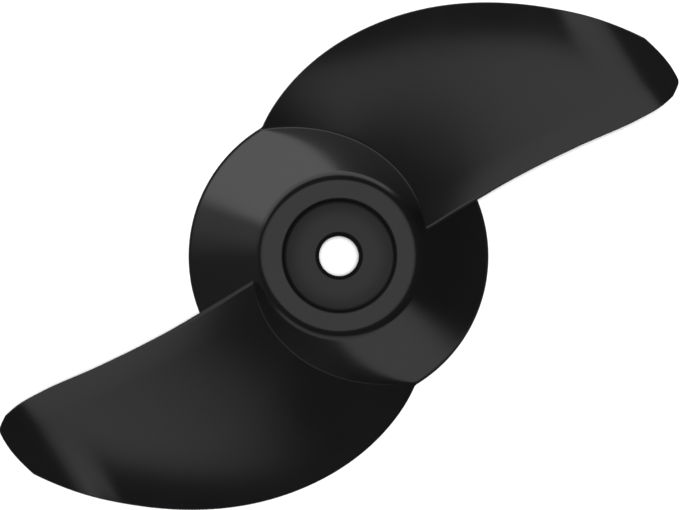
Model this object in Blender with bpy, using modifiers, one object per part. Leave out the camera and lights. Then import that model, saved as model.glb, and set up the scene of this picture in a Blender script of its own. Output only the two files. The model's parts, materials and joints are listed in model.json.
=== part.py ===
"""Two-blade moulded boat propeller for a small electric outboard.

The propeller lies on the wide rim of its hub: the rim is at z = 0, the shaft axis is +Z
and the nut side is up. Sizes are in metres and angles in degrees, measured from +X.
"""
import math

import bmesh
import bpy
import numpy as np
from mathutils import Vector

# Overall sizes
TIP_RADIUS = 0.1143
HUB_HEIGHT = 0.0394
SEAM = 0.0003

# Conical hub shell
RIM_RADIUS = 0.0452
RIM_LAND = 0.0026
CONE_TOP_Z = 0.03725
CONE_TOP_RADIUS = 0.02525
CONE_FLARE = 0.0006
CONE_HALF_ANGLE = 30.0
HUB_WALL = 0.0030

# Nut recess at the narrow end
RECESS_RADIUS = 0.01715
RECESS_FLOOR_RADIUS = 0.0161
FLOOR_Z = 0.0304
FLOOR_THICKNESS = 0.005

# Bore, boss and drive-pin slot
BORE_RADIUS = 0.0060
BORE_CHAMFER = 0.0011
BOSS_RADIUS = 0.0130
BOSS_END_Z = 0.006
SLOT_WIDTH = 0.0056
SLOT_DEPTH = 0.0060

# Ribs between the boss and the shell
RIB_COUNT = 6
RIB_THICKNESS = 0.0025
RIB_START_ANGLE = 30.0
RIB_INNER_Z = 0.0075
RIB_OUTER_Z = 0.0040

# Blade outline: radius against the angle of each edge
BLADE_COUNT = 2
TRAILING_EDGE = ((0.027, 16.5), (0.036, 20.1), (0.045, 22.2), (0.054, 23.6),
                 (0.063, 24.25), (0.078, 24.6), (0.098, 24.5), (0.106, 24.9),
                 (0.112, 25.8))
LEADING_EDGE = ((0.036, 137.0), (0.045, 121.0), (0.054, 105.5), (0.066, 87.3),
                (0.081, 67.9), (0.096, 51.1), (0.105, 42.4), (0.112, 35.7))
TIP_PEAK = 0.30
TIP_TRAILING_DROP = 0.0038
TIP_LEADING_DROP = 0.0021

# Blade surface: height of its aft face, and its thickness
ROOT_START_ANGLE = 16.4
ROOT_WRAP = 105.7
ROOT_START_Z = 0.0348
HELIX_DROP = 0.0215
HELIX_CURL = 0.00975
TWIST = 0.0102
TWIST_START = 0.0450
TWIST_SPAN = 0.0600
TRAILING_ROLL = 0.00022
TRAILING_ROLL_WIDTH = 0.0090
LEADING_ROLL = 0.0014
LEADING_ROLL_WIDTH = 0.0400
LEADING_ROLL_POWER = 2.75
LEADING_ROLL_START = 0.0235
LEADING_ROLL_FULL = 0.0950
LEADING_ROLL_FADE = 0.0912
LEADING_ROLL_GONE = 0.1007
TIP_BEND_ANGLE = 31.0
TIP_BEND_DISTANCE = 0.1048
TIP_BEND_SLOPE = 0.42
TIP_BEND_SOFTNESS = 0.0034
THICKEST_RADIUS = 0.0227
ROOT_THICKNESS = 0.0052
TIP_THICKNESS = 0.0026
EDGE_THICKNESS = 0.0014

# Fineness of the faceted surfaces
TURN_STEPS = 72
CONE_RINGS = 8
SHOULDER_RINGS = 8
CHORD_CELLS = 26
SPAN_CELLS = 20

BLACK = (0.0061, 0.0061, 0.0063)


def clear_scene():
    """Remove what a new Blender file holds."""
    for item in list(bpy.data.objects):
        bpy.data.objects.remove(item, do_unlink=True)


def make_collection(name):
    collection = bpy.data.collections.new(name)
    bpy.context.scene.collection.children.link(collection)
    return collection


def plastic(name, colour, roughness):
    material = bpy.data.materials.new(name)
    material.use_nodes = True
    shader = material.node_tree.nodes["Principled BSDF"]
    shader.inputs["Base Color"].default_value = (*colour, 1.0)
    shader.inputs["Roughness"].default_value = roughness
    shader.inputs["Metallic"].default_value = 0.0
    return material


def cone_radius(z):
    """Outer radius of the flared shell at height z."""
    share = (CONE_TOP_Z - np.asarray(z)) / (CONE_TOP_Z - RIM_LAND)
    share = np.clip(share, 0.0, 1.0)
    straight = RIM_RADIUS - CONE_TOP_RADIUS - CONE_FLARE
    return CONE_TOP_RADIUS + straight * share + CONE_FLARE * share ** 2


def shoulder_profile():
    """Points of the arc that rounds the cone over into the hub's flat end.

    The arc is tangent to both. A tilt is the angle between the surface's normal and the
    shaft.
    """
    straight = RIM_RADIUS - CONE_TOP_RADIUS - CONE_FLARE
    steepest = math.atan((CONE_TOP_Z - RIM_LAND) / straight)
    arc_radius = (HUB_HEIGHT - CONE_TOP_Z) / (1.0 - math.cos(steepest))
    tilts = np.linspace(0.0, steepest, SHOULDER_RINGS + 1)
    radii = CONE_TOP_RADIUS + arc_radius * (np.sin(tilts) - math.sin(steepest))
    heights = HUB_HEIGHT + arc_radius * (np.cos(tilts) - 1.0)
    return list(zip(radii.tolist(), heights.tolist()))


def hub_radius(z):
    """Outer radius of the whole hub at height z."""
    radii, heights = np.array(shoulder_profile()[::-1]).T
    return np.where(z > CONE_TOP_Z, np.interp(z, heights, radii), cone_radius(z))


def inner_wall_radius(z):
    """Inner radius of the shell, one wall thickness inside the cone."""
    return cone_radius(z) - HUB_WALL / math.cos(math.radians(CONE_HALF_ANGLE))


def turned(name, profile, collection, material):
    """Turn a closed profile of (radius, z) points about the shaft axis."""
    mesh = bpy.data.meshes.new(name)
    points = [(radius, 0.0, z) for radius, z in profile]
    count = len(points)
    edges = [(i, (i + 1) % count) for i in range(count)]
    mesh.from_pydata(points, edges, [])
    piece = bpy.data.objects.new(name, mesh)
    collection.objects.link(piece)
    screw = piece.modifiers.new("turn", "SCREW")
    screw.axis = "Z"
    screw.steps = TURN_STEPS
    screw.render_steps = TURN_STEPS
    screw.use_merge_vertices = True
    screw.merge_threshold = 0.00001
    screw.use_smooth_shade = True
    mesh.materials.append(material)
    return piece


def make_hub_cone(collection, material):
    """Hollow flared shell, open at the rim and cut level with the recess floor."""
    heights = np.linspace(FLOOR_Z - SEAM, RIM_LAND, CONE_RINGS)
    outer = [(float(cone_radius(z)), float(z)) for z in heights]
    outer.append((RIM_RADIUS, 0.0))
    inner = [(float(inner_wall_radius(z)), float(z)) for z in heights[::-1]]
    inner.insert(0, (float(inner_wall_radius(RIM_LAND)), 0.0))
    return turned("hub_cone", outer + inner, collection, material)


def make_hub_end(collection, material):
    """Ring round the nut recess: the hub's flat end, its shoulder and the cone's top."""
    outer = shoulder_profile() + [(float(cone_radius(FLOOR_Z)), FLOOR_Z)]
    inner = [(RECESS_FLOOR_RADIUS, FLOOR_Z), (RECESS_RADIUS, HUB_HEIGHT)]
    return turned("hub_end", outer + inner, collection, material)


def make_recess_floor(collection, material):
    """Web across the hub that the nut bears on, with the bore and its chamfer."""
    under = FLOOR_Z - FLOOR_THICKNESS
    ledge = FLOOR_Z - SEAM
    seat = RECESS_FLOOR_RADIUS - SEAM
    edge = float(inner_wall_radius(ledge)) - SEAM
    foot = float(inner_wall_radius(under)) - SEAM
    profile = [(BORE_RADIUS + BORE_CHAMFER, FLOOR_Z), (seat, FLOOR_Z), (seat, ledge),
               (edge, ledge), (foot, under), (BORE_RADIUS, under),
               (BORE_RADIUS, FLOOR_Z - BORE_CHAMFER)]
    return turned("recess_floor", profile, collection, material)


def make_cutter(name, size, centre, collection):
    """Box used to cut another piece."""
    mesh = bpy.data.meshes.new(name)
    form = bmesh.new()
    bmesh.ops.create_cube(form, size=1.0)
    bmesh.ops.scale(form, vec=Vector(size), verts=form.verts)
    form.to_mesh(mesh)
    form.free()
    cutter = bpy.data.objects.new(name, mesh)
    cutter.location = centre
    cutter.display_type = "WIRE"
    cutter.hide_render = True
    collection.objects.link(cutter)
    return cutter


def make_shaft_boss(collection, cutters, material):
    """Sleeve round the bore, with the slot for the drive pin across its motor end."""
    top = FLOOR_Z - FLOOR_THICKNESS - SEAM
    profile = [(BOSS_RADIUS, top), (BOSS_RADIUS, BOSS_END_Z),
               (BORE_RADIUS, BOSS_END_Z), (BORE_RADIUS, top)]
    boss = turned("shaft_boss", profile, collection, material)
    length = 2.0 * (BOSS_RADIUS + SLOT_WIDTH)
    centre = Vector((0.0, 0.0, BOSS_END_Z))
    slot = make_cutter("drive_slot_cutter", (length, SLOT_WIDTH, 2.0 * SLOT_DEPTH),
                       centre, cutters)
    cut = boss.modifiers.new("drive slot", "BOOLEAN")
    cut.operation = "DIFFERENCE"
    cut.solver = "EXACT"
    cut.object = slot
    return boss


def make_rib(index, collection, material):
    """Flat rib from the boss to the shell, under the web."""
    top = FLOOR_Z - FLOOR_THICKNESS - SEAM
    inner = BOSS_RADIUS + SEAM
    bottom_reach = float(inner_wall_radius(RIB_OUTER_Z)) - SEAM
    outline = [(inner, top), (inner, RIB_INNER_Z), (bottom_reach, RIB_OUTER_Z)]
    for z in np.linspace(RIB_OUTER_Z, top, 5)[1:]:
        outline.append((float(inner_wall_radius(z)) - SEAM, float(z)))
    curve = bpy.data.curves.new(f"rib_{index}", "CURVE")
    curve.dimensions = "2D"
    curve.fill_mode = "BOTH"
    curve.extrude = RIB_THICKNESS / 2.0
    line = curve.splines.new("POLY")
    line.points.add(len(outline) - 1)
    for point, (radius, z) in zip(line.points, outline):
        point.co = (radius, z, 0.0, 1.0)
    line.use_cyclic_u = True
    rib = bpy.data.objects.new(f"rib_{index}", curve)
    turn = math.radians(RIB_START_ANGLE + 360.0 / RIB_COUNT * (index - 1))
    rib.rotation_euler = (math.radians(90.0), 0.0, turn)
    curve.materials.append(material)
    collection.objects.link(rib)
    return rib


def smooth_curve(points, at):
    """Value at each place along points joined by smooth cubic stretches."""
    places, values = np.array(points).T
    slopes = np.gradient(values, places)
    index = np.clip(np.searchsorted(places, at) - 1, 0, len(places) - 2)
    width = places[index + 1] - places[index]
    share = (at - places[index]) / width
    curve = ((1.0 + 2.0 * share) * (1.0 - share) ** 2 * values[index]
             + share * (1.0 - share) ** 2 * width * slopes[index]
             + share ** 2 * (3.0 - 2.0 * share) * values[index + 1]
             + share ** 2 * (share - 1.0) * width * slopes[index + 1])
    before = values[0] + (at - places[0]) * slopes[0]
    return np.where(at < places[0], before, curve)


def smooth_step(value, start, end):
    """Smooth rise from 0 at start to 1 at end."""
    share = np.clip((value - start) / (end - start), 0.0, 1.0)
    return share ** 2 * (3.0 - 2.0 * share)


def blade_angle(chord, radius):
    """Angle of a point at a share of the chord, from trailing to leading edge."""
    trailing = smooth_curve(TRAILING_EDGE, radius)
    leading = smooth_curve(LEADING_EDGE, radius)
    return trailing + chord * (leading - trailing)


def blade_height(chord, radius, side):
    """Height of the blade's aft (side = 1) or forward (side = -1) face.

    The aft face is a helix whose pitch grows with the angle and with the radius. It rolls
    down a little along the trailing edge and more along the leading edge, where the roll
    grows outwards and ends near the tip. Beyond a straight line near the tip it bends down.
    """
    angle = blade_angle(chord, radius)
    wrap = (angle - ROOT_START_ANGLE) / ROOT_WRAP
    height = ROOT_START_Z - HELIX_DROP * wrap - HELIX_CURL * wrap ** 3
    height = height - TWIST * wrap * (radius - TWIST_START) / TWIST_SPAN
    from_trailing = radius * np.radians(angle - smooth_curve(TRAILING_EDGE, radius))
    near = np.clip(1.0 - from_trailing / TRAILING_ROLL_WIDTH, 0.0, 1.0)
    height = height - TRAILING_ROLL * near ** 2
    from_leading = radius * np.radians(smooth_curve(LEADING_EDGE, radius) - angle)
    near = np.clip(1.0 - from_leading / LEADING_ROLL_WIDTH, 0.0, 1.0)
    out = radius * np.cos(np.radians(angle - TIP_BEND_ANGLE))
    strength = smooth_step(radius, LEADING_ROLL_START, LEADING_ROLL_FULL)
    strength = strength * (1.0 - smooth_step(out, LEADING_ROLL_FADE, LEADING_ROLL_GONE))
    height = height - LEADING_ROLL * near ** LEADING_ROLL_POWER * strength
    reach = out - TIP_BEND_DISTANCE
    bend = (reach + np.sqrt(reach ** 2 + TIP_BEND_SOFTNESS ** 2)) / 2.0
    height = height - TIP_BEND_SLOPE * bend
    share = np.clip((radius - THICKEST_RADIUS) / (TIP_RADIUS - THICKEST_RADIUS), 0.0, 1.0)
    thickest = ROOT_THICKNESS + (TIP_THICKNESS - ROOT_THICKNESS) * share
    fullness = np.sqrt(np.clip(4.0 * chord * (1.0 - chord), 0.0, 1.0))
    thickness = EDGE_THICKNESS + (thickest - EDGE_THICKNESS) * fullness
    return np.where(side > 0.0, height, height - thickness)


def blade_face(side):
    """Grid of points on one face of the blade, from the hub to the tip."""
    chord = (1.0 - np.cos(np.linspace(0.0, math.pi, CHORD_CELLS + 1))) / 2.0
    span = np.linspace(0.0, 1.0, SPAN_CELLS + 1) ** 0.9
    root = np.full_like(chord, RIM_RADIUS)
    for _ in range(60):
        root = hub_radius(blade_height(chord, root, side)) + SEAM
    before = np.clip(1.0 - chord / TIP_PEAK, 0.0, 1.0)
    after = np.clip((chord - TIP_PEAK) / (1.0 - TIP_PEAK), 0.0, 1.0)
    end = TIP_RADIUS - TIP_TRAILING_DROP * before ** 4 - TIP_LEADING_DROP * after ** 2.5
    radius = root + span[:, None] * (end - root)
    chord = np.broadcast_to(chord, radius.shape)
    angle = np.radians(blade_angle(chord, radius))
    height = blade_height(chord, radius, side)
    grid = np.stack((radius * np.cos(angle), radius * np.sin(angle), height), axis=-1)
    return grid.reshape(-1, 3)


def grid_faces(rows, columns):
    """Quads of a grid of points, as index rows."""
    index = np.arange(rows * columns).reshape(rows, columns)
    corners = (index[:-1, :-1], index[:-1, 1:], index[1:, 1:], index[1:, :-1])
    return np.stack([corner.ravel() for corner in corners], axis=-1)


def make_blade(index, collection, material):
    """Blade lofted between its two faces, clear of the hub by the seam."""
    rows, columns = SPAN_CELLS + 1, CHORD_CELLS + 1
    aft, forward = blade_face(1.0), blade_face(-1.0)
    faces = grid_faces(rows, columns)
    count = rows * columns
    border = np.arange(count).reshape(rows, columns)
    loop = np.concatenate((border[0], border[1:, -1], border[-1, -2::-1],
                           border[-2:0:-1, 0]))
    following = np.roll(loop, -1)
    wall = np.stack((following, loop, loop + count, following + count), axis=-1)
    mesh = bpy.data.meshes.new(f"blade_{index}")
    quads = np.concatenate((faces, faces[:, ::-1] + count, wall))
    mesh.from_pydata(np.concatenate((aft, forward)).tolist(), [], quads.tolist())
    form = bmesh.new()
    form.from_mesh(mesh)
    bmesh.ops.recalc_face_normals(form, faces=form.faces)
    form.to_mesh(mesh)
    form.free()
    mesh.shade_smooth()
    mesh.set_sharp_from_angle(angle=math.radians(40.0))
    mesh.materials.append(material)
    blade = bpy.data.objects.new(f"blade_{index}", mesh)
    blade.rotation_euler = (0.0, 0.0, math.radians(360.0 / BLADE_COUNT * (index - 1)))
    collection.objects.link(blade)
    return blade


def main():
    clear_scene()
    parts = make_collection("boat_propeller")
    cutters = make_collection("cutters")
    outer_plastic = plastic("black_plastic", BLACK, 0.3)
    inner_plastic = plastic("inner_black_plastic", BLACK, 0.5)
    make_hub_cone(parts, outer_plastic)
    make_hub_end(parts, outer_plastic)
    make_recess_floor(parts, outer_plastic)
    make_shaft_boss(parts, cutters, inner_plastic)
    for index in range(1, RIB_COUNT + 1):
        make_rib(index, parts, inner_plastic)
    for index in range(1, BLADE_COUNT + 1):
        make_blade(index, parts, outer_plastic)


main()
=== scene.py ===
"""Looks of a two-blade moulded boat propeller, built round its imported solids.

Everything is in metres, in the frame of the solids: the wide rim of the hub rests on
z = 0, the shaft axis is +Z and the nut side is up. Angles run from +X towards +Y.
"""

import json
import logging
import math
from dataclasses import dataclass
from enum import Enum

import bmesh
import bpy
import numpy as np
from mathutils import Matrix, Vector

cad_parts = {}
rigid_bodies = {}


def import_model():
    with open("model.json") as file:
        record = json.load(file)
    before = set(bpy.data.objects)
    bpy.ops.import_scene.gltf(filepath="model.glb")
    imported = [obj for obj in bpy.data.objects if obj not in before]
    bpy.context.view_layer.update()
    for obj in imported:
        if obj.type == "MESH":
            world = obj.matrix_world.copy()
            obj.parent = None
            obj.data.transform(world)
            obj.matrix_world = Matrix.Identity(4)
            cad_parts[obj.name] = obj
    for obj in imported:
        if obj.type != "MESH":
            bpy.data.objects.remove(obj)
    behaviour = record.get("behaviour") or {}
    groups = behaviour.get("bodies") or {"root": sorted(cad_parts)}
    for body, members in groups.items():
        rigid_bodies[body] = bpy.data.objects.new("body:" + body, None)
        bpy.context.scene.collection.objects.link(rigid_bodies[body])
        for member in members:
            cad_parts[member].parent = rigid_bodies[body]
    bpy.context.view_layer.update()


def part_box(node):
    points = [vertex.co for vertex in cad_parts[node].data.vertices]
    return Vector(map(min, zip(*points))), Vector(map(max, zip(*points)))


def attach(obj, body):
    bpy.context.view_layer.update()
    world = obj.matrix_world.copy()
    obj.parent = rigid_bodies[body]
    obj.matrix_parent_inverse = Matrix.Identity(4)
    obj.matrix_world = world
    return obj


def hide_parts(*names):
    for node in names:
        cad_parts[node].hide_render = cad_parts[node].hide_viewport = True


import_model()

LOG = logging.getLogger("boat_propeller")
BODY = "root"
MM = 0.001

Array = np.ndarray
Curve = tuple[tuple[float, float], ...]
Edge = tuple[float, float]


class Slot(Enum):
    """Material slots of the record."""

    OUTER = "black_plastic"
    INNER = "inner_black_plastic"


class Side(Enum):
    """The two faces of a blade."""

    AFT = 1.0
    FORWARD = -1.0


class Socket:
    """An output of a shader node that Python operators work on."""

    def __init__(self, graph: "Graph", output: bpy.types.NodeSocket) -> None:
        """Keep the output and the graph that it belongs to."""
        self.graph = graph
        self.output = output

    def _maths(self, operation: str, *values: "Socket | float") -> "Socket":
        """Add one Math node fed by the values."""
        return self.graph.add("ShaderNodeMath", {"operation": operation}, *values)

    def __add__(self, other: "Socket | float") -> "Socket":
        """Sum of two values."""
        return self._maths("ADD", self, other)

    def __sub__(self, other: "Socket | float") -> "Socket":
        """This value less the other."""
        return self._maths("SUBTRACT", self, other)

    def __rsub__(self, other: float) -> "Socket":
        """The other value less this one."""
        return self._maths("SUBTRACT", other, self)

    def __mul__(self, other: "Socket | float") -> "Socket":
        """Product of two values."""
        return self._maths("MULTIPLY", self, other)

    def __truediv__(self, other: "Socket | float") -> "Socket":
        """This value divided by the other."""
        return self._maths("DIVIDE", self, other)

    __radd__ = __add__
    __rmul__ = __mul__

    def step(self, start: float, end: float) -> "Socket":
        """Smooth rise from 0 at start to 1 at end, or a fall where end is below start.

        Args:
            start: Value where the result is 0.
            end: Value where the result is 1.

        Returns:
            The smoothed share.
        """
        settings = {"interpolation_type": "SMOOTHSTEP"}
        if start < end:
            return self.graph.add("ShaderNodeMapRange", settings, self, start, end)
        return 1.0 - self.graph.add("ShaderNodeMapRange", settings, self, end, start)


class Graph:
    """A node tree that is written as calls."""

    def __init__(self, tree: bpy.types.NodeTree) -> None:
        """Empty the tree and start on it."""
        self.tree = tree
        tree.nodes.clear()

    def add(self, kind: str, settings: dict | None = None, *values: "Socket | float",
            out: int | str = 0, **named: "Socket | float | tuple") -> Socket:
        """Add a node.

        Args:
            kind: The node's type.
            settings: Properties to set before the sockets are filled.
            values: Values or sockets for the first inputs, in order.
            out: The output that is returned.
            named: Values or sockets by input name, with _ for a space.

        Returns:
            The chosen output.
        """
        node = self.tree.nodes.new(kind)
        for key, value in (settings or {}).items():
            setattr(node, key, value)
        inputs = dict(enumerate(values))
        inputs.update({key.replace("_", " "): value for key, value in named.items()})
        for key, value in inputs.items():
            if isinstance(value, Socket):
                self.tree.links.new(value.output, node.inputs[key])
            else:
                node.inputs[key].default_value = value
        return Socket(self, node.outputs[out]) if node.outputs else Socket(self, None)


@dataclass(frozen=True)
class MouldedPlastic:
    """Black thermoplastic as it leaves a polished or a spark-eroded mould.

    Roughness drifts over some centimetres, and a fine grain lifts the surface by a few
    micrometres. The seat round the shaft is duller, and more so towards its edge.
    """

    slot: Slot
    colour: tuple[float, float, float]
    roughness: float
    roughness_drift: float
    grain_scale: float
    grain_height: float
    seat_roughness: float = 0.36
    seat_edge_roughness: float = 0.49
    seat_radius: float = 16.9 * MM
    seat_border: float = 0.8 * MM
    seat_dulling: Edge = (0.6, 0.9)
    drift_scale: float = 38.0
    drift_range: Edge = (0.3, 0.7)
    drift_tone: float = 0.82
    refractive_index: float = 1.5

    def make(self) -> bpy.types.Material:
        """Build the material.

        Returns:
            The material, named for its slot.
        """
        material = bpy.data.materials.new(self.slot.value + "_finish")
        material.use_nodes = True
        graph = Graph(material.node_tree)
        place = graph.add("ShaderNodeTexCoord", out="Object")
        drift = graph.add("ShaderNodeTexNoise", None, Vector=place,
                          Scale=self.drift_scale, Detail=3.0, Roughness=0.55)
        grain = graph.add("ShaderNodeTexNoise", None, Vector=place,
                          Scale=self.grain_scale, Detail=2.0, Roughness=0.5)
        split = graph.add("ShaderNodeSeparateXYZ", None, place).output.node
        x, y = (Socket(graph, split.outputs[axis]) for axis in "XY")
        from_shaft = graph.add("ShaderNodeMath", {"operation": "SQRT"}, x * x + y * y)
        seat = from_shaft.step(self.seat_radius, self.seat_radius - self.seat_border)
        start, end = self.seat_dulling
        outwards = from_shaft.step(start * self.seat_radius, end * self.seat_radius)
        duller = (self.seat_roughness - self.roughness
                  + outwards * (self.seat_edge_roughness - self.seat_roughness))
        roughness = (self.roughness + seat * duller
                     + (drift - 0.5) * self.roughness_drift)
        tone = graph.add("ShaderNodeMix", {"data_type": "RGBA"}, out=2)
        mix = tone.output.node
        dark = tuple(self.drift_tone * channel for channel in self.colour)
        mix.inputs[6].default_value = (*dark, 1.0)
        mix.inputs[7].default_value = (*self.colour, 1.0)
        graph.tree.links.new(drift.step(*self.drift_range).output, mix.inputs[0])
        bump = graph.add("ShaderNodeBump", None, Strength=1.0, Distance=self.grain_height,
                         Height=grain, out="Normal")
        shader = graph.add("ShaderNodeBsdfPrincipled", None, Base_Color=tone,
                           Roughness=roughness, Normal=bump,
                           IOR=self.refractive_index, Metallic=0.0)
        graph.add("ShaderNodeOutputMaterial", None, Surface=shader)
        return material


BLACK = (0.0061, 0.0061, 0.0063)
POLISHED = MouldedPlastic(Slot.OUTER, BLACK, roughness=0.19, roughness_drift=0.05,
                          grain_scale=900.0, grain_height=0.004 * MM)
SPARK_ERODED = MouldedPlastic(Slot.INNER, BLACK, roughness=0.36, roughness_drift=0.10,
                              grain_scale=1400.0, grain_height=0.008 * MM)


def mesh_piece(name: str, grid: Array, faces: Array, material: bpy.types.Material,
               nodes: tuple[str, ...], merge: float = 0.0) -> bpy.types.Object:
    """Turn points and quads into a smooth piece that stands for CAD nodes.

    Args:
        name: The piece's name.
        grid: Points, with x, y and z in the last axis.
        faces: Quads as rows of point numbers.
        material: Its finish.
        nodes: The CAD nodes that the piece replaces.
        merge: Distance under which points become one, or 0 for none.

    Returns:
        The finished object.
    """
    mesh = bpy.data.meshes.new(name)
    mesh.from_pydata(grid.reshape(-1, 3).tolist(), [], faces.tolist())
    piece = bpy.data.objects.new(name, mesh)
    bpy.context.scene.collection.objects.link(piece)
    if merge > 0.0:
        weld_and_face_out(mesh, merge)
    mesh.shade_smooth()
    mesh.materials.append(material)
    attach(piece, BODY)
    if nodes:
        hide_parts(*nodes)
    LOG.info("%s: %d faces", name, len(mesh.polygons))
    return piece


def weld_and_face_out(mesh: bpy.types.Mesh, distance: float) -> None:
    """Merge close points, drop faces that vanish, and turn all faces outwards.

    Args:
        mesh: The mesh to change.
        distance: Distance under which points become one.
    """
    form = bmesh.new()
    form.from_mesh(mesh)
    bmesh.ops.remove_doubles(form, verts=form.verts, dist=distance)
    bmesh.ops.dissolve_degenerate(form, edges=form.edges, dist=distance)
    bmesh.ops.recalc_face_normals(form, faces=form.faces)
    form.to_mesh(mesh)
    form.free()


def quads(rows: int, columns: int, wrap_rows: bool = False,
          wrap_columns: bool = False) -> Array:
    """Quads of a grid of points.

    Args:
        rows: Number of rows.
        columns: Number of columns.
        wrap_rows: Whether the last row joins the first.
        wrap_columns: Whether the last column joins the first.

    Returns:
        Four point numbers per quad.
    """
    index = np.arange(rows * columns).reshape(rows, columns)
    if wrap_rows:
        index = np.concatenate((index, index[:1]), axis=0)
    if wrap_columns:
        index = np.concatenate((index, index[:, :1]), axis=1)
    corners = (index[:-1, :-1], index[:-1, 1:], index[1:, 1:], index[1:, :-1])
    return np.stack([corner.ravel() for corner in corners], axis=-1)


def smooth_curve(points: Curve, at: Array) -> Array:
    """Value along points joined by cubic stretches, straight before the first.

    Each stretch is the cubic with the points' values and the slopes of their neighbours.

    Args:
        points: Places and values, in rising order of place.
        at: Places to read.

    Returns:
        The values there.
    """
    places, values = np.array(points).T
    slopes = np.gradient(values, places)
    index = np.clip(np.searchsorted(places, at) - 1, 0, len(places) - 2)
    width = places[index + 1] - places[index]
    share = (at - places[index]) / width
    curve = ((1.0 + 2.0 * share) * (1.0 - share) ** 2 * values[index]
             + share * (1.0 - share) ** 2 * width * slopes[index]
             + share ** 2 * (3.0 - 2.0 * share) * values[index + 1]
             + share ** 2 * (share - 1.0) * width * slopes[index + 1])
    before = values[0] + (at - places[0]) * slopes[0]
    return np.where(at < places[0], before, curve)


def smooth_step(value: Array, start: float, end: float) -> Array:
    """Smooth rise from 0 at start to 1 at end: three squares less two cubes."""
    share = np.clip((value - start) / (end - start), 0.0, 1.0)
    return share ** 2 * (3.0 - 2.0 * share)


def round_corners(points: list[tuple[float, float, float]], steps: int = 6,
                  most: float = 0.9) -> Array:
    """Closed line through corners, each cut by a parabola of its own reach.

    Args:
        points: Corner radius and z, and how far the rounding reaches from it.
        steps: Stretches per rounded corner.
        most: Largest share of a side that one rounding takes.

    Returns:
        Points of the line, as radius and z.
    """
    data = np.array(points)
    corner, reach = data[:, :2], data[:, 2:]
    before, after = np.roll(corner, 1, axis=0), np.roll(corner, -1, axis=0)
    to_before, to_after = before - corner, after - corner
    length_before = np.linalg.norm(to_before, axis=1, keepdims=True)
    length_after = np.linalg.norm(to_after, axis=1, keepdims=True)
    limit = most * np.minimum(length_before, length_after)
    reach = np.minimum(reach, limit)
    start = corner + to_before / length_before * reach
    end = corner + to_after / length_after * reach
    t = np.linspace(0.0, 1.0, steps + 1)[None, :, None]
    bend = ((1 - t) ** 2 * start[:, None] + 2 * t * (1 - t) * corner[:, None]
            + t ** 2 * end[:, None])
    keep = np.broadcast_to(reach > 1e-9, (len(corner), steps + 1)).copy()
    keep[:, 0] = True
    return bend.reshape(-1, 2)[keep.ravel()]


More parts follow.
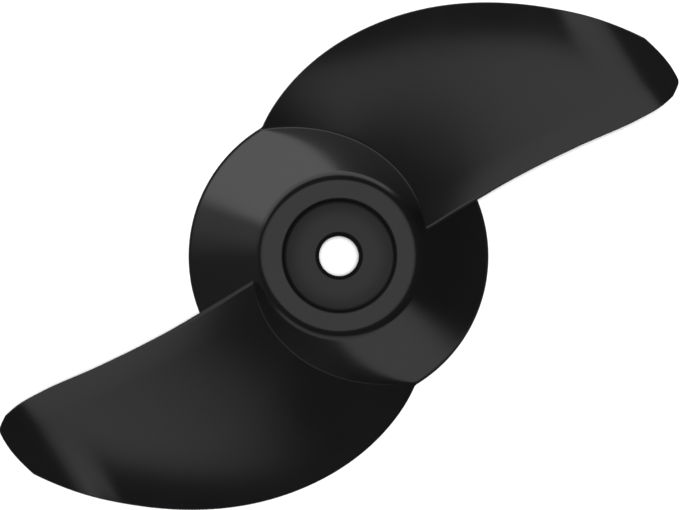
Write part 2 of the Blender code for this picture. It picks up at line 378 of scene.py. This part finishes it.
@dataclass
class Hub:
    """Hollow flared hub with its shoulder, nut recess, bore, boss and drive-pin slot.

    The whole moulding is one line of radius and z carried round the shaft. On the boss
    the line ends lower or higher as it passes the slot.
    """

    material: bpy.types.Material
    rim_radius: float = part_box("hub_cone")[1].x
    height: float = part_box("hub_end")[1].z
    floor_z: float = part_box("recess_floor")[1].z
    web_under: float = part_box("recess_floor")[0].z
    boss_radius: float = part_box("shaft_boss")[1].x
    boss_end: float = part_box("shaft_boss")[0].z
    rim_land: float = 2.6 * MM
    cone_top_z: float = 37.25 * MM
    cone_top_radius: float = 25.25 * MM
    cone_flare: float = 0.6 * MM
    half_angle: float = 30.0
    wall: float = 3.0 * MM
    rim_rounding: float = 2.2 * MM
    rim_edge_rounding: float = 0.3 * MM
    mouth_rounding: float = 0.4 * MM
    web_fillet: float = 1.0 * MM
    boss_draft: float = 0.1 * MM
    boss_plain: float = 2.0 * MM
    boss_rounding: float = 0.5 * MM
    bore_rounding: float = 0.4 * MM
    recess_radius: float = 17.07 * MM
    recess_foot_radius: float = 16.6 * MM
    recess_fillet: float = 1.3 * MM
    recess_rounding: float = 0.3 * MM
    bore_radius: float = 6.0 * MM
    bore_chamfer: float = 1.1 * MM
    chamfer_foot_rounding: float = 0.15 * MM
    chamfer_rounding: float = 0.2 * MM
    slot_width: float = 5.6 * MM
    slot_depth: float = 6.0 * MM
    slot_edge: float = 0.35 * MM
    rim_clearance: float = 1.2
    merge: float = 0.001 * MM
    cone_cells: int = 39
    inner_cells: int = 23

    def cone_radius(self, z: Array) -> Array:
        """Radius of the flared cone: straight, plus a part that grows with the square.

        Args:
            z: Heights.

        Returns:
            The radii there.
        """
        share = (self.cone_top_z - z) / (self.cone_top_z - self.rim_land)
        share = np.clip(share, 0.0, 1.0)
        straight = self.rim_radius - self.cone_top_radius - self.cone_flare
        return self.cone_top_radius + straight * share + self.cone_flare * share ** 2

    def inner_radius(self, z: Array) -> Array:
        """Inner radius of the shell, one wall inside the cone."""
        return self.cone_radius(z) - self.wall / math.cos(math.radians(self.half_angle))

    def shoulder_line(self, steps: int = 30) -> Array:
        """Arc that rounds the cone over into the flat end, tangent to both.

        A tilt is the angle between the surface's normal and the shaft. The arc's radius
        follows from the height that the arc gains over the cone's top.

        Args:
            steps: Stretches of the arc.

        Returns:
            Points as radius and z, from the top down.
        """
        straight = self.rim_radius - self.cone_top_radius - self.cone_flare
        steepest = math.atan((self.cone_top_z - self.rim_land) / straight)
        arc_radius = (self.height - self.cone_top_z) / (1.0 - math.cos(steepest))
        tilts = np.linspace(0.0, steepest, steps + 1)
        radii = self.cone_top_radius + arc_radius * (np.sin(tilts) - math.sin(steepest))
        heights = self.height + arc_radius * (np.cos(tilts) - 1.0)
        return np.stack((radii, heights), axis=-1)

    def outer_line(self) -> Array:
        """Outer side of the hub from its flat end to the rim's land.

        The cone's last stretch is as long as the rounding of the rim's corner needs.
        """
        last = self.rim_land + self.rim_clearance * self.rim_rounding
        heights = np.linspace(self.cone_top_z, last, self.cone_cells + 1)
        heights = np.append(heights[1:], self.rim_land)
        cone = np.stack((self.cone_radius(heights), heights), axis=-1)
        return np.concatenate((self.shoulder_line(), cone))

    def outer_radius(self, z: Array) -> Array:
        """Outer radius of the hub at height z, read from its outer line."""
        line = self.outer_line()[::-1]
        return np.interp(z, line[:, 1], line[:, 0])

    def outer_tilt(self, z: Array) -> Array:
        """Angle between the outer side's normal and the shaft at height z, in radians."""
        step = 0.05 * MM
        slope = (self.outer_radius(z - step) - self.outer_radius(z + step)) / (2 * step)
        return math.pi / 2 - np.arctan(slope)

    def line(self) -> tuple[Array, Array]:
        """Closed line of the whole hub, and how far each point follows the boss's end.

        Returns:
            Points as radius and z, and a share from 0 to 1 for the boss's end.
        """
        outer = self.outer_line()
        corners = [(*point, 0.0) for point in outer[:-1]]
        corners.append((*outer[-1], self.rim_rounding))
        corners.append((self.rim_radius, 0.0, self.rim_edge_rounding))
        heights = np.linspace(self.rim_land, self.web_under, self.inner_cells + 1)
        inner = np.stack((self.inner_radius(heights), heights), axis=-1)
        corners.append((inner[0, 0], 0.0, self.mouth_rounding))
        corners += [(*point, 0.0) for point in inner[1:-1]]
        corners.append((*inner[-1], self.web_fillet))
        middle = (inner[-1, 0] + self.boss_radius) / 2
        corners.append((middle, self.web_under, 0.0))
        boss_foot = self.boss_radius + self.boss_draft
        corners.append((boss_foot, self.web_under, self.web_fillet))
        boss_top = self.web_under - self.boss_plain
        corners.append((boss_foot, boss_top, 0.0))
        corners.append((self.boss_radius, self.boss_end, self.boss_rounding))
        corners.append((self.bore_radius, self.boss_end, self.bore_rounding))
        corners.append((self.bore_radius, boss_top, 0.0))
        mouth = self.floor_z - self.bore_chamfer
        corners.append((self.bore_radius, mouth, self.chamfer_foot_rounding))
        chamfer_end = self.bore_radius + self.bore_chamfer
        corners.append((chamfer_end, self.floor_z, self.chamfer_rounding))
        corners.append((self.recess_foot_radius, self.floor_z, self.recess_fillet))
        corners.append((self.recess_radius, self.height, self.recess_rounding))
        points = round_corners(corners)
        beside = points[:, 0] < self.boss_radius + 2 * self.boss_draft
        on_boss = beside & (points[:, 1] < boss_top)
        share = (boss_top - points[:, 1]) / (boss_top - self.boss_end)
        follow = np.where(on_boss, share, 0.0)
        return points, follow

    def slot_section(self, steps: int = 5) -> Array:
        """Half of the slot's section: distance from its middle, and depth.

        The mouth and the foot are rounded, and the wall leans a little.

        Args:
            steps: Stretches of each rounded corner.

        Returns:
            Points from the slot's middle to its mouth.
        """
        half, edge = self.slot_width / 2, self.slot_edge
        turn = np.linspace(0.0, math.pi / 2, steps + 1)
        foot = np.stack((half - 2 * edge + edge * np.sin(turn),
                         self.slot_depth - edge + edge * np.cos(turn)), axis=-1)
        mouth = np.stack((half + edge - edge * np.cos(turn),
                          edge - edge * np.sin(turn)), axis=-1)
        middle = np.linspace((0.0, self.slot_depth), (half - 2.2 * edge, self.slot_depth), 4)
        return np.concatenate((middle, foot, mouth))

    def grid(self, arc_steps: int = 120) -> Array:
        """Points of the hub: its line carried round the shaft, past the slot twice.

        A point at radius r beside the slot's middle by s lies at the angle whose sine is
        s / r, so that the slot's walls stay straight. Between the slots the angle runs
        evenly.

        Args:
            arc_steps: Columns between one mouth of the slot and the next.

        Returns:
            Rows along the line by columns round the shaft.
        """
        points, follow = self.line()
        radius, z = points[:, :1], points[:, 1:]
        section = self.slot_section()
        near = np.clip(radius, self.bore_radius, self.boss_radius)
        first = np.arcsin(np.clip(section[:, 0] / near, -1.0, 1.0))
        mouth = first[:, -1:]
        share = np.linspace(0.0, 1.0, arc_steps + 1)[None, 1:-1]
        arc = mouth + (math.pi - 2 * mouth) * share
        last = math.pi - first[:, :0:-1]
        angle = np.concatenate((first, arc, last), axis=1)
        angle = np.concatenate((angle, angle + math.pi), axis=1)
        depth = np.concatenate((section[:, 1], np.zeros(arc_steps - 1), section[:0:-1, 1]))
        depth = np.tile(depth, 2)
        height = z + follow[:, None] * depth
        return np.stack((radius * np.cos(angle), radius * np.sin(angle),
                         np.broadcast_to(height, angle.shape)), axis=-1)

    def build(self) -> bpy.types.Object:
        """Make the hub's piece."""
        grid = self.grid()
        faces = quads(grid.shape[0], grid.shape[1], wrap_rows=True, wrap_columns=True)
        nodes = ("hub_cone", "hub_end", "recess_floor", "shaft_boss")
        return mesh_piece("hub_moulding", grid, faces, self.material, nodes,
                          self.merge)


@dataclass
class Rib:
    """Thin upright rib between the boss and the shell, under the web."""

    hub: Hub
    material: bpy.types.Material
    number: int
    angle: float
    thickness: float = 2.5 * MM
    draft: float = 0.012
    fillet: float = 0.9 * MM
    fillet_width: float = 0.6
    fillet_overrun: float = 1.3
    bury: float = 0.8 * MM
    inner_z: float = 7.5 * MM
    outer_z: float = 4.0 * MM
    merge: float = 0.002 * MM
    cells_along: int = 60
    cells_up: int = 48

    def build(self) -> bpy.types.Object:
        """Make the rib.

        The rib is a grid of length along and height up. Its half thickness is half the
        wall, grows with the height by the draft, widens in a fillet near the boss, the
        shell and the web, and closes in a half round at the lower edge.
        """
        along = np.linspace(0.0, 1.0, self.cells_along + 1)[None, :]
        turns = np.linspace(0.0, math.pi, self.cells_up + 1)
        up = ((1.0 - np.cos(turns)) / 2.0)[:, None]
        top = self.hub.web_under + self.bury
        low = self.inner_z + (self.outer_z - self.inner_z) * along
        z = low + (top - low) * up
        start = self.hub.boss_radius - self.bury
        end = self.hub.inner_radius(z) + self.bury
        radius = start + (end - start) * along
        gaps = (radius - self.hub.boss_radius, self.hub.inner_radius(z) - radius,
                self.hub.web_under - z)
        half = self.thickness / 2 + self.draft * (z - low)
        for gap in gaps:
            near = np.clip(1.0 - gap / self.fillet, 0.0, self.fillet_overrun)
            half = half + self.fillet * self.fillet_width * near ** 2
        edge = np.clip((z - low) / (self.thickness / 2), 0.0, 1.0)
        half = half * np.sqrt(np.clip(1.0 - (1.0 - edge) ** 2, 0.0, 1.0))
        turn = math.radians(self.angle)
        sides = []
        for sign in (1.0, -1.0):
            x = radius * math.cos(turn) - sign * half * math.sin(turn)
            y = radius * math.sin(turn) + sign * half * math.cos(turn)
            sides.append(np.stack((x, y, z), axis=-1))
        rows, columns = radius.shape
        grid = np.concatenate([side.reshape(-1, 3) for side in sides])
        face = quads(rows, columns)
        index = np.arange(rows * columns).reshape(rows, columns)
        border = np.concatenate((index[0], index[1:, -1], index[-1, -2::-1],
                                 index[-2:0:-1, 0]))
        after = np.roll(border, -1)
        count = rows * columns
        wall = np.stack((after, border, border + count, after + count), axis=-1)
        faces = np.concatenate((face, face[:, ::-1] + count, wall))
        return mesh_piece(f"rib_moulding_{self.number}", grid, faces, self.material,
                          (f"rib_{self.number}",), self.merge)


@dataclass
class Blade:
    """Swept blade whose aft face rolls off along the leading edge and at the tip."""

    hub: Hub
    material: bpy.types.Material
    number: int
    turn: float
    trailing: Curve = ((0.027, 16.5), (0.036, 20.1), (0.045, 22.2), (0.054, 23.6),
                       (0.063, 24.25), (0.078, 24.6), (0.098, 24.5), (0.106, 24.9),
                       (0.112, 25.8))
    leading: Curve = ((0.036, 137.0), (0.045, 121.0), (0.054, 105.5), (0.066, 87.3),
                      (0.081, 67.9), (0.096, 51.1), (0.105, 42.4), (0.112, 35.7))
    tip_radius: float = 114.28 * MM
    tip_peak: float = 0.30
    tip_trailing_drop: float = 3.8 * MM
    tip_trailing_power: int = 4
    tip_leading_drop: float = 2.1 * MM
    tip_leading_power: float = 2.5
    root_angle: float = 16.4
    root_wrap: float = 105.7
    root_z: float = 34.8 * MM
    helix_drop: float = 21.5 * MM
    helix_curl: float = 9.75 * MM
    twist: float = 10.2 * MM
    twist_start: float = 45.0 * MM
    twist_span: float = 60.0 * MM
    trailing_roll: float = 0.22 * MM
    trailing_roll_width: float = 9.0 * MM
    roll: float = 1.4 * MM
    roll_width: float = 40.0 * MM
    roll_power: float = 2.75
    roll_start: float = 23.5 * MM
    roll_full: float = 95.0 * MM
    roll_fade: float = 91.2 * MM
    roll_gone: float = 100.7 * MM
    bend_angle: float = 31.0
    bend_distance: float = 105.1 * MM
    bend_slope: float = 0.42
    bend_softness: float = 3.4 * MM
    thickest_radius: float = 22.7 * MM
    root_thickness: float = 5.2 * MM
    tip_thickness: float = 2.6 * MM
    edge: float = 1.4 * MM
    edge_reach: float = 0.3 * MM
    root_edge_reach: float = 0.9 * MM
    root_edge_radii: Edge = (46.0 * MM, 62.0 * MM)
    root_edge_chord: Edge = (0.1, 0.4)
    edge_inset: float = 0.01 * MM
    root_fillet: float = 0.4 * MM
    bury: float = 0.7 * MM
    merge: float = 0.0005 * MM
    chord_cells: int = 110
    span_cells: int = 110
    fillet_cells: int = 6
    meeting_rounds: int = 60
    outline_power: float = 6.0

    def angle(self, chord: Array, radius: Array) -> Array:
        """Angle of a point at a share of the chord.

        The leading edge stays a hundredth of a millimetre inside the solid's outline.

        Args:
            chord: Share of the chord.
            radius: Radius.

        Returns:
            The angle in degrees.
        """
        start = smooth_curve(self.trailing, radius)
        end = smooth_curve(self.leading, radius) - np.degrees(self.edge_inset / radius)
        return start + chord * (end - start)

    def tip(self, chord: Array) -> Array:
        """Radius of the outline's end: the tip circle less a drop towards each corner.

        Each drop grows by a power of the distance from the chord's share at the peak.

        Args:
            chord: Share of the chord.

        Returns:
            The radius in metres.
        """
        before = np.clip(1.0 - chord / self.tip_peak, 0.0, 1.0)
        after = np.clip((chord - self.tip_peak) / (1.0 - self.tip_peak), 0.0, 1.0)
        return (self.tip_radius
                - self.tip_trailing_drop * before ** self.tip_trailing_power
                - self.tip_leading_drop * after ** self.tip_leading_power)

    def from_outline(self, chord: Array, radius: Array) -> Array:
        """Distance to the nearest edge, smoothed where two edges are as near.

        The distance along the arc to an edge is shortened by the cosine of that edge's
        sweep. The three distances join as the inverse sixth root of the sum of their
        inverse sixth powers.

        Args:
            chord: Share of the chord.
            radius: Radius.

        Returns:
            The distance in metres.
        """
        step = 0.1 * MM
        start = smooth_curve(self.trailing, radius)
        end = smooth_curve(self.leading, radius)
        arc = radius * np.radians(end - start)
        distances = []
        for share, points, angle in ((chord, self.trailing, start),
                                     (1.0 - chord, self.leading, end)):
            rate = (smooth_curve(points, radius + step) - angle) / step
            distances.append(share * arc * np.cos(np.arctan(radius * np.radians(rate))))
        distances.append(self.tip(chord) - radius)
        tiny = 1e-7
        power = self.outline_power
        total = sum(np.maximum(distance, tiny) ** -power for distance in distances)
        return np.where(np.min(distances, axis=0) <= tiny, 0.0, total ** (-1.0 / power))

    def height(self, chord: Array, radius: Array, side: Side) -> Array:
        """Height of one face.

        The aft face falls with the angle as a helix plus a cubic curl, and with the angle
        times the radius as a twist. It falls a little along the trailing edge, by a power
        law within the roll of the leading edge, which fades out towards the tip, and by a
        softened ramp beyond the bend line. The forward face lies one thickness below.
        Both meet at the edge in a half ellipse, which reaches further in near the root of
        the trailing edge.

        Args:
            chord: Share of the chord.
            radius: Radius.
            side: Which face.

        Returns:
            Heights in metres.
        """
        angle = self.angle(chord, radius)
        wrap = (angle - self.root_angle) / self.root_wrap
        aft = self.root_z - self.helix_drop * wrap - self.helix_curl * wrap ** 3
        aft = aft - self.twist * wrap * (radius - self.twist_start) / self.twist_span
        trailing = smooth_curve(self.trailing, radius)
        behind = radius * np.radians(angle - trailing) / self.trailing_roll_width
        aft = aft - self.trailing_roll * np.clip(1.0 - behind, 0.0, 1.0) ** 2
        leading = smooth_curve(self.leading, radius)
        ahead = radius * np.radians(leading - angle) / self.roll_width
        share = np.clip(1.0 - ahead, 0.0, 1.0)
        out = radius * np.cos(np.radians(angle - self.bend_angle))
        ramp = smooth_step(radius, self.roll_start, self.roll_full)
        ramp = ramp * (1.0 - smooth_step(out, self.roll_fade, self.roll_gone))
        aft = aft - self.roll * share ** self.roll_power * ramp
        reach = out - self.bend_distance
        bend = (reach + np.sqrt(reach ** 2 + self.bend_softness ** 2)) / 2.0
        aft = aft - self.bend_slope * bend
        share = (radius - self.thickest_radius) / (self.tip_radius - self.thickest_radius)
        thickest = self.root_thickness + (self.tip_thickness - self.root_thickness) * share
        fullness = np.sqrt(np.clip(4.0 * chord * (1.0 - chord), 0.0, 1.0))
        thickness = self.edge + (thickest - self.edge) * fullness
        half = self.edge / 2
        near_root = ((1.0 - smooth_step(radius, *self.root_edge_radii))
                     * (1.0 - smooth_step(chord, *self.root_edge_chord)))
        deep = self.edge_reach + (self.root_edge_reach - self.edge_reach) * near_root
        inside = np.clip(1.0 - self.from_outline(chord, radius) / deep, 0.0, 1.0)
        nose = half * (1.0 - np.sqrt(np.clip(1.0 - inside ** 2, 0.0, 1.0)))
        if side is Side.AFT:
            return aft - nose
        return aft - thickness + nose

    def points(self, chord: Array, radius: Array, side: Side) -> Array:
        """Points of one face in space."""
        angle = np.radians(self.angle(chord, radius) + self.turn)
        return np.stack((radius * np.cos(angle), radius * np.sin(angle),
                         self.height(chord, radius, side)), axis=-1)

    def face(self, chord: Array, side: Side) -> tuple[Array, Array]:
        """One face from its meeting with the hub to the tip.

        Args:
            chord: Shares of the chord, one per column.
            side: Which face.

        Returns:
            The meeting line with the hub, and the grid of rows outboard of the fillet.
            The line is found by reading the hub's radius at the blade's height again
            and again.
        """
        root = np.full_like(chord, self.hub.rim_radius)
        for _ in range(self.meeting_rounds):
            root = self.hub.outer_radius(self.height(chord, root, side))
        begin = root + self.root_fillet
        span = np.sin(np.linspace(0.0, math.pi / 2, self.span_cells + 1))[:, None]
        radius = begin + span * (self.tip(chord) - begin)
        across = np.broadcast_to(chord, radius.shape)
        return self.points(chord, root, side), self.points(across, radius, side)

    def fillet_rows(self, meeting: Array, outboard: Array) -> Array:
        """Rows from inside the hub's wall, along its outside and up to the blade.

        A parabola leaves the hub along its surface and reaches the blade along its own.
        It starts square to the meeting line, away from the blade's section.

        Args:
            meeting: Closed line where the bare blade meets the hub.
            outboard: The blade's first row.

        Returns:
            Rows of points, the deepest first.
        """
        around = np.roll(meeting, -1, axis=0) - np.roll(meeting, 1, axis=0)
        tilt = self.hub.outer_tilt(meeting[:, 2])
        azimuth = np.arctan2(meeting[:, 1], meeting[:, 0])
        normal = np.stack((np.sin(tilt) * np.cos(azimuth), np.sin(tilt) * np.sin(azimuth),
                           np.cos(tilt)), axis=-1)
        away = np.cross(around, normal)
        away /= np.linalg.norm(away, axis=1, keepdims=True)
        centre = meeting.mean(axis=0)
        if np.sum(away * (meeting - centre)) < 0.0:
            away = -away
        foot = meeting + away * self.root_fillet
        t = np.linspace(0.0, 1.0, self.fillet_cells + 1)[:-1, None, None]
        rows = (1 - t) ** 2 * foot + 2 * t * (1 - t) * meeting + t ** 2 * outboard
        deep = foot - normal * self.bury
        return np.concatenate((deep[None], rows))

    def build(self) -> bpy.types.Object:
        """Make the blade.

        Its columns run round the section, out along the aft face and back along the
        forward face, and its rows run from inside the hub to the tip, where both faces
        share one line.
        """
        chord = (1.0 - np.cos(np.linspace(0.0, math.pi, self.chord_cells + 1))) / 2.0
        aft_line, aft = self.face(chord, Side.AFT)
        forward_line, forward = self.face(chord[-2:0:-1], Side.FORWARD)
        meeting = np.concatenate((aft_line, forward_line))
        rows = np.concatenate((aft, forward), axis=1)
        grid = np.concatenate((self.fillet_rows(meeting, rows[0]), rows))
        faces = quads(grid.shape[0], grid.shape[1], wrap_columns=True)
        columns = grid.shape[1]
        front = np.arange(0, self.chord_cells)
        back = (columns - front) % columns
        back_next = (columns - front - 1) % columns
        cap = np.stack((front, front + 1, back_next, back), axis=-1)
        faces = np.concatenate((faces, cap))
        return mesh_piece(f"blade_moulding_{self.number}", grid, faces, self.material,
                          (f"blade_{self.number}",), self.merge)


@dataclass
class Propeller:
    """The whole moulding."""

    rib_count: int = 6
    first_rib: float = 30.0
    blade_count: int = 2

    def build(self) -> None:
        """Make and dress the hub, its ribs and the blades."""
        outer = POLISHED.make()
        inner = SPARK_ERODED.make()
        hub = Hub(outer)
        hub.build()
        for number in range(self.rib_count):
            angle = self.first_rib + 360.0 / self.rib_count * number
            Rib(hub, inner, number + 1, angle).build()
        for number in range(self.blade_count):
            turn = 360.0 / self.blade_count * number
            Blade(hub, outer, number + 1, turn).build()


@dataclass(frozen=True)
class Surroundings:
    """Light of the studio that the plastic mirrors.

    A soft box hangs overhead. It is drawn on a plane above the propeller, by the
    direction's x and y over its z, and its near and far edges run at a slant. Banks of
    light stand round the propeller, as bands of azimuth and of the direction's z: a
    bright one on the left that trails off, a faint one behind it and a dimmer one on the
    right. A little light comes from the ground and from everywhere. In each pair of
    numbers the first is a place where a share is 0, and the second one where it is 1.
    """

    box_left: Edge = (-1.96, -0.48)
    box_right: Edge = (0.76, 0.18)
    box_near: Edge = (-0.467, -0.347)
    box_far: Edge = (0.561, 0.441)
    box_above: Edge = (0.0, 0.1)
    near_slant: float = 0.2
    far_slant: float = 0.06
    box_strength: float = 1.115
    left_start: Edge = (0.80, 0.98)
    left_end: Edge = (2.80, 2.68)
    left_strength: float = 1.18
    right_start: Edge = (-2.5, -2.3)
    right_end: Edge = (-1.04, -1.24)
    right_strength: float = 0.565
    tall_top: Edge = (0.46, 0.18)
    trail_start: Edge = (2.68, 2.80)
    trail_end: Edge = (3.20, 2.85)
    trail_strength: float = 0.33
    behind_start: Edge = (2.80, 2.95)
    behind_end: Edge = (-2.40, -2.60)
    behind_strength: float = 0.075
    flat_top: Edge = (0.28, 0.04)
    foot: Edge = (-0.67, -0.58)
    level_strength: float = 1.2
    strength_rise: float = 0.4
    ground: Edge = (-0.60, -0.75)
    ground_strength: float = 0.04
    everywhere: float = 0.02

    def soft_box(self, x: Socket, y: Socket, z: Socket) -> Socket:
        """Share of the soft box's light: the product of its edges' shares.

        Args:
            x: The direction's x.
            y: The direction's y.
            z: The direction's z.

        Returns:
            The share.
        """
        across = x / z
        along = y / z
        near_edge = along + across * self.near_slant
        far_edge = along - across * self.far_slant
        return (across.step(*self.box_left) * across.step(*self.box_right)
                * near_edge.step(*self.box_near) * far_edge.step(*self.box_far)
                * z.step(*self.box_above))

    def banks(self, azimuth: Socket, z: Socket) -> Socket:
        """Light of the banks, which grows a little with the height.

        The right bank ends at a slant: at a smaller azimuth where it is higher. The left
        and the right bank are tall, and the two others flat.

        Args:
            azimuth: The direction's azimuth in radians.
            z: The direction's z.

        Returns:
            The strength of the light.
        """
        left = azimuth.step(*self.left_start) * azimuth.step(*self.left_end)
        trail = azimuth.step(*self.trail_start) * azimuth.step(*self.trail_end)
        behind = azimuth.step(*self.behind_start) + azimuth.step(*self.behind_end)
        right = azimuth.step(*self.right_start) * (azimuth + z).step(*self.right_end)
        tall = left * self.left_strength + right * self.right_strength
        flat = trail * self.trail_strength + behind * self.behind_strength
        upright = z.step(*self.foot) * (z * self.strength_rise + self.level_strength)
        return upright * (tall * z.step(*self.tall_top) + flat * z.step(*self.flat_top))

    def paint(self) -> None:
        """Make the world and light it."""
        world = bpy.data.worlds.new("studio")
        bpy.context.scene.world = world
        world.use_nodes = True
        graph = Graph(world.node_tree)
        view = graph.add("ShaderNodeTexCoord", out="Generated")
        split = graph.add("ShaderNodeSeparateXYZ", None, view).output.node
        x, y, z = (Socket(graph, split.outputs[axis]) for axis in "XYZ")
        azimuth = graph.add("ShaderNodeMath", {"operation": "ARCTAN2"}, y, x)
        ground = z.step(*self.ground) * self.ground_strength
        bright = (self.soft_box(x, y, z) * self.box_strength + self.banks(azimuth, z)
                  + ground + self.everywhere)
        background = graph.add("ShaderNodeBackground", None, Strength=bright)
        graph.add("ShaderNodeOutputWorld", None, Surface=background)


@dataclass
class Studio:
    """Pale floor and backdrop, a lamp, the painted surroundings and the camera.

    The plastic mirrors the surroundings. The camera sees the floor and the backdrop in
    place of them.
    """

    room_radius: float = 8.0
    floor_segments: int = 96
    dome_segments: int = 64
    floor_tone: float = 0.8
    camera_height: float = 3.0
    camera_offset: tuple[float, float] = (-23.6 * MM, -15.3 * MM)
    blade_plane: float = 0.025
    image_width: float = 680.0
    image_height: float = 510.0
    metres_per_pixel: float = 0.2988 * MM
    axis_pixel: tuple[float, float] = (339.15, 255.95)
    sensor_width: float = 36.0
    clip_end: float = 100.0
    lamp_strength: float = 3.9
    lamp_angle: float = 4.0

    def stage_piece(self, name: str, form: bmesh.types.BMesh) -> bpy.types.Object:
        """Put a mesh into the scene as part of the stage.

        Args:
            name: The piece's name.
            form: Its mesh, which is freed.

        Returns:
            The piece.
        """
        mesh = bpy.data.meshes.new(name)
        form.to_mesh(mesh)
        form.free()
        mesh.shade_smooth()
        piece = bpy.data.objects.new(name, mesh)
        bpy.context.scene.collection.objects.link(piece)
        return piece

    def floor(self) -> None:
        """Lay a pale floor under the rim, which the plastic doesn't mirror.

        The floor has one side only, so that the propeller can be seen from below too.
        """
        form = bmesh.new()
        bmesh.ops.create_circle(form, cap_ends=True, segments=self.floor_segments,
                                radius=self.room_radius)
        floor = self.stage_piece("floor", form)
        floor.visible_glossy = False
        material = bpy.data.materials.new("pale_floor")
        material.use_nodes = True
        graph = Graph(material.node_tree)
        tone = (self.floor_tone,) * 3
        paint = graph.add("ShaderNodeBsdfDiffuse", None, Color=(*tone, 1.0))
        clear = graph.add("ShaderNodeBsdfTransparent")
        underside = graph.add("ShaderNodeNewGeometry", out="Backfacing")
        both = graph.add("ShaderNodeMixShader", None, underside, paint, clear)
        graph.add("ShaderNodeOutputMaterial", None, Surface=both)
        floor.data.materials.append(material)

    def backdrop(self) -> None:
        """Close the room with a plain pale dome that only the camera sees."""
        form = bmesh.new()
        bmesh.ops.create_uvsphere(form, u_segments=self.dome_segments,
                                  v_segments=self.dome_segments // 2,
                                  radius=self.room_radius)
        dome = self.stage_piece("backdrop", form)
        for kind in ("diffuse", "glossy", "transmission", "shadow", "volume_scatter"):
            setattr(dome, "visible_" + kind, False)
        material = bpy.data.materials.new("pale_backdrop")
        material.use_nodes = True
        graph = Graph(material.node_tree)
        glow = graph.add("ShaderNodeEmission", None, Strength=1.0)
        graph.add("ShaderNodeOutputMaterial", None, Surface=glow)
        dome.data.materials.append(material)

    def lamp(self) -> None:
        """Hang a lamp straight above, far away, that gives no highlight of its own."""
        data = bpy.data.lights.new("top_lamp", "SUN")
        data.energy = self.lamp_strength
        data.angle = math.radians(self.lamp_angle)
        lamp = bpy.data.objects.new("top_lamp", data)
        lamp.visible_glossy = False
        bpy.context.scene.collection.objects.link(lamp)

    def camera(self) -> None:
        """Set the camera almost over the shaft, so that the axis falls on its pixel.

        It stands a little to the left and below, and turns to look at the point of the
        blade plane that is in the middle of the picture.
        """
        data = bpy.data.cameras.new("camera")
        camera = bpy.data.objects.new("camera", data)
        column, row = self.axis_pixel
        x = (self.image_width / 2 - column) * self.metres_per_pixel
        y = (row - self.image_height / 2) * self.metres_per_pixel
        reach = self.camera_height - self.blade_plane
        aside, back = self.camera_offset
        camera.location = (x + aside, y + back, self.camera_height)
        camera.rotation_euler = (math.atan(-back / reach), math.atan(aside / reach), 0.0)
        width = self.image_width * self.metres_per_pixel
        data.sensor_width = self.sensor_width
        data.lens = self.sensor_width * reach / width
        data.clip_end = self.clip_end
        bpy.context.scene.collection.objects.link(camera)
        bpy.context.scene.camera = camera

    def build(self) -> None:
        """Set up the stage, the light and the camera."""
        self.floor()
        self.backdrop()
        Surroundings().paint()
        self.lamp()
        self.camera()
        bpy.context.scene.view_settings.view_transform = "Standard"


def main() -> None:
    """Build the propeller and the studio."""
    logging.basicConfig(level=logging.INFO, format="%(name)s %(message)s")
    for item in [o for o in bpy.data.objects if o.name in ("Cube", "Light", "Camera")]:
        bpy.data.objects.remove(item, do_unlink=True)
    Propeller().build()
    Studio().build()


if __name__ == "__main__":
    main()
